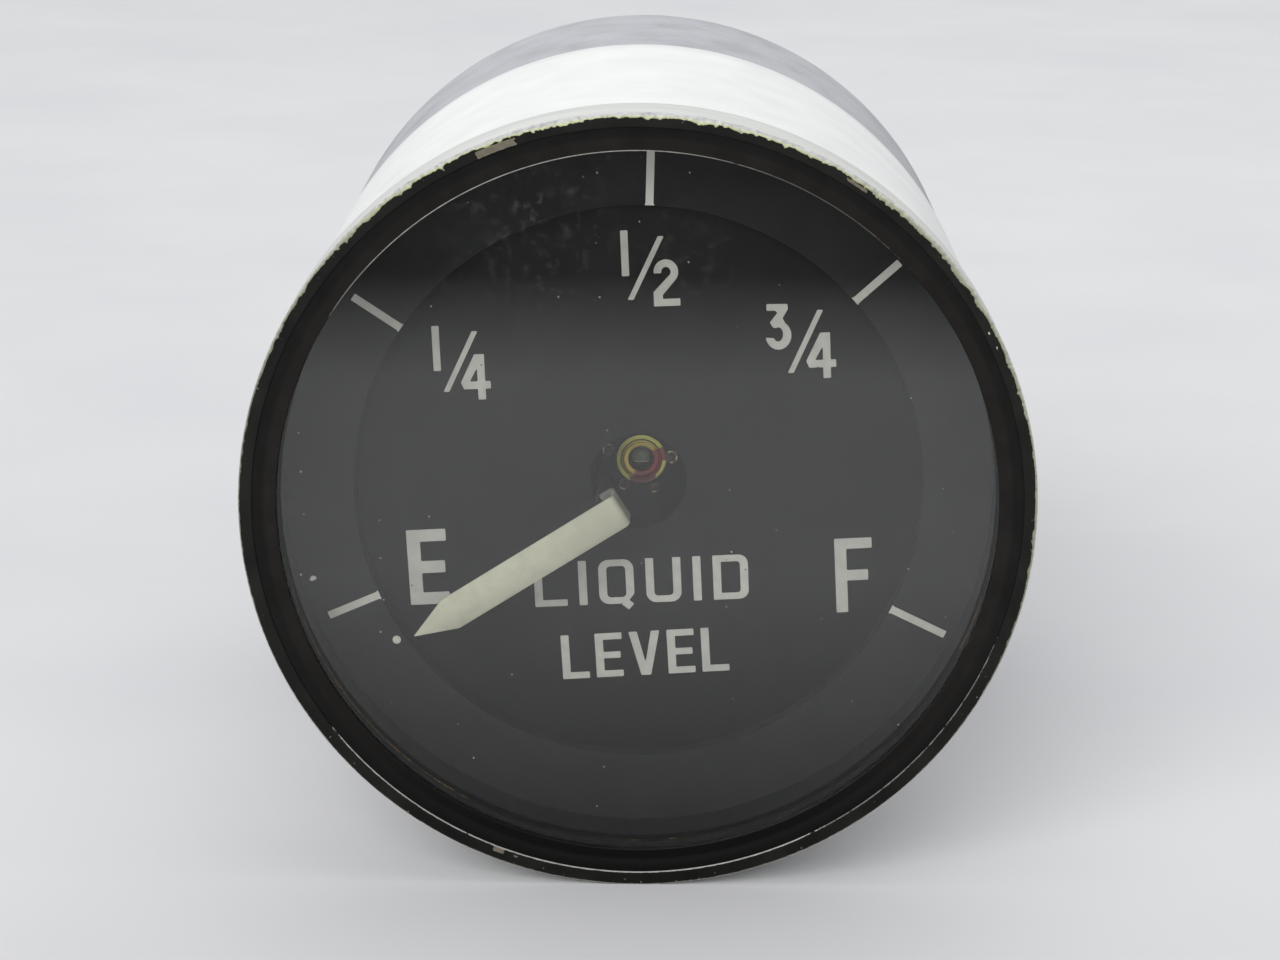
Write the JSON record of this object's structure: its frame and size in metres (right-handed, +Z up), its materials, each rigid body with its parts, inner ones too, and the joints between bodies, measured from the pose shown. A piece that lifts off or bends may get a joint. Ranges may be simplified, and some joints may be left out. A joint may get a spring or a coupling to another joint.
{
  "type": "panel level gauge",
  "caption": "Round panel gauge with a black dial, a scale from E to F, a cream pointer and a cylindrical case with a rear three-contact receptacle.",
  "frame": {"origin": "on the gauge's axis, in the plane of the bezel's rear face, where the panel clamp's grip on the case begins", "axes": "+Y along the case's axis from the face to the rear, +Z up through the dial's half mark, +X to the right as seen from the front"},
  "size_m": [0.057, 0.0788, 0.057],
  "materials": {
    "bezel_paint": "satin black paint, chipped to bare metal at the front edge",
    "retainer_black": "semi-gloss black",
    "glass": "clear flat glass",
    "rubber_black": "matt",
    "spacer_black": "matt black over brass",
    "dial_black": "matt black with light warm grey markings",
    "steel_screws": "plated",
    "aluminium_plain": "machined",
    "brass_posts": "turned",
    "pointer_cream": "matt cream paint",
    "arm_black": "matt black",
    "steel_bright": "polished",
    "magnet_grey": "sintered",
    "brass_small": "turned",
    "bridge_black": "black moulding",
    "jewel": "polished jewel",
    "brass_nut": "turned, sealed with a spot of red lacquer",
    "plate_dark": "matt dark grey",
    "former_black": "black moulding",
    "copper_wire": "enamelled wire",
    "shield_metal": "plain",
    "board_green": "lacquered",
    "resistor_body": "lacquered",
    "trimmer_blue": "moulded",
    "case_paint": "semi-gloss grey paint, scuffed and worn at the rear edge",
    "label_white": "white adhesive label, plain",
    "receptacle_olive": "passivated",
    "insert_black": "moulded",
    "contact_gold": "plated"
  },
  "bodies": {
    "root": {"bezel_ring": "bezel_paint", "lens_retainer": "retainer_black", "cover_glass": "glass", "glass_gasket": "rubber_black", "dial_spacer": "spacer_black", "scale_ring": "dial_black", "dial_plate": "dial_black", "dial_screws": "steel_screws", "dial_support": "aluminium_plain", "front_posts": "brass_posts", "front_bridge": "bridge_black", "bridge_screw": "steel_screws", "front_jewel_screw": "brass_small", "front_jewel": "jewel", "jewel_locknut": "brass_nut", "terminal_pins": "brass_small", "movement_plate": "plate_dark", "former_front_half": "former_black", "former_rear_half": "former_black", "winding_a": "copper_wire", "winding_b": "copper_wire", "pull_off_magnet": "magnet_grey", "shield_can": "shield_metal", "rear_jewel_screw": "brass_small", "mid_posts": "brass_posts", "circuit_board": "board_green", "resistors": "resistor_body", "trimmers": "trimmer_blue", "rear_posts": "brass_posts", "case_shell": "case_paint", "label_band": "label_white", "case_screws": "steel_screws", "receptacle_gasket": "rubber_black", "receptacle_shell": "receptacle_olive", "receptacle_insert": "insert_black", "contact_pins": "contact_gold", "flange_screws": "steel_screws"},
    "rotor": {"pointer": "pointer_cream", "pointer_arm": "arm_black", "staff": "steel_bright", "rotor_magnet": "magnet_grey", "balance_weight": "brass_small"}
  },
  "joints": [
    {"name": "pointer_sweep", "type": "hinge", "parent": "root", "child": "rotor", "pos_m": [0, 0, 0], "axis": [0, 1, 0], "range_deg": [0, 243], "stiffness_Nm_per_rad": 0.00002}
  ]
}
